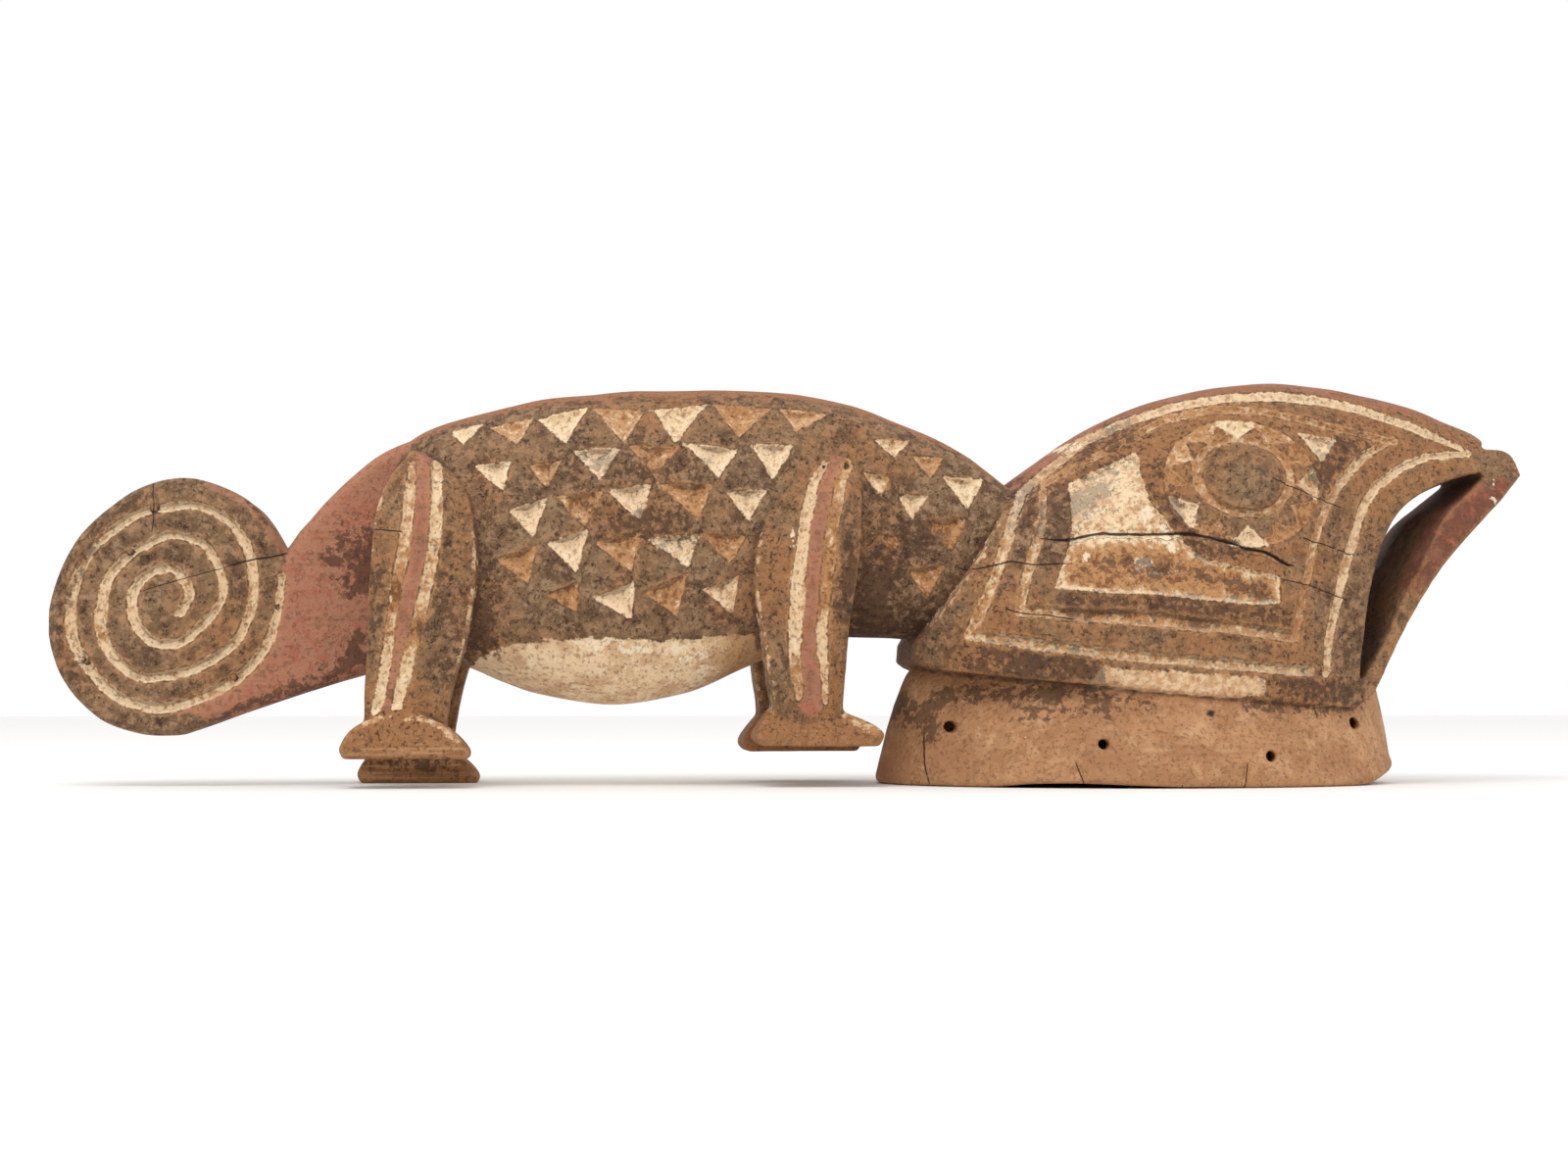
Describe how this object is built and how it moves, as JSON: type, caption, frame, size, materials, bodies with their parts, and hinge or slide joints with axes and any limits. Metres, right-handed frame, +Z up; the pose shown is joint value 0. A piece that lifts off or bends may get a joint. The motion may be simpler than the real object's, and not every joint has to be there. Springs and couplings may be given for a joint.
{
  "type": "wooden chameleon mask",
  "caption": "Carved wooden helmet mask in the form of a chameleon with curled tail, barrel body, legs and crested head on a hollow flared collar.",
  "frame": {"origin": "middle of the mask's length and width, on the level it stands on", "axes": "+X from the curled tail to the jaw, +Y to the mask's own left side, away from the side that the picture shows, +Z up"},
  "size_m": [0.895, 0.2184, 0.247],
  "materials": {
    "carved_wood": "dry matt painted and smoke-darkened wood, bare on the collar"
  },
  "bodies": {
    "root": {"chameleon_mask": "carved_wood"}
  },
  "joints": []
}
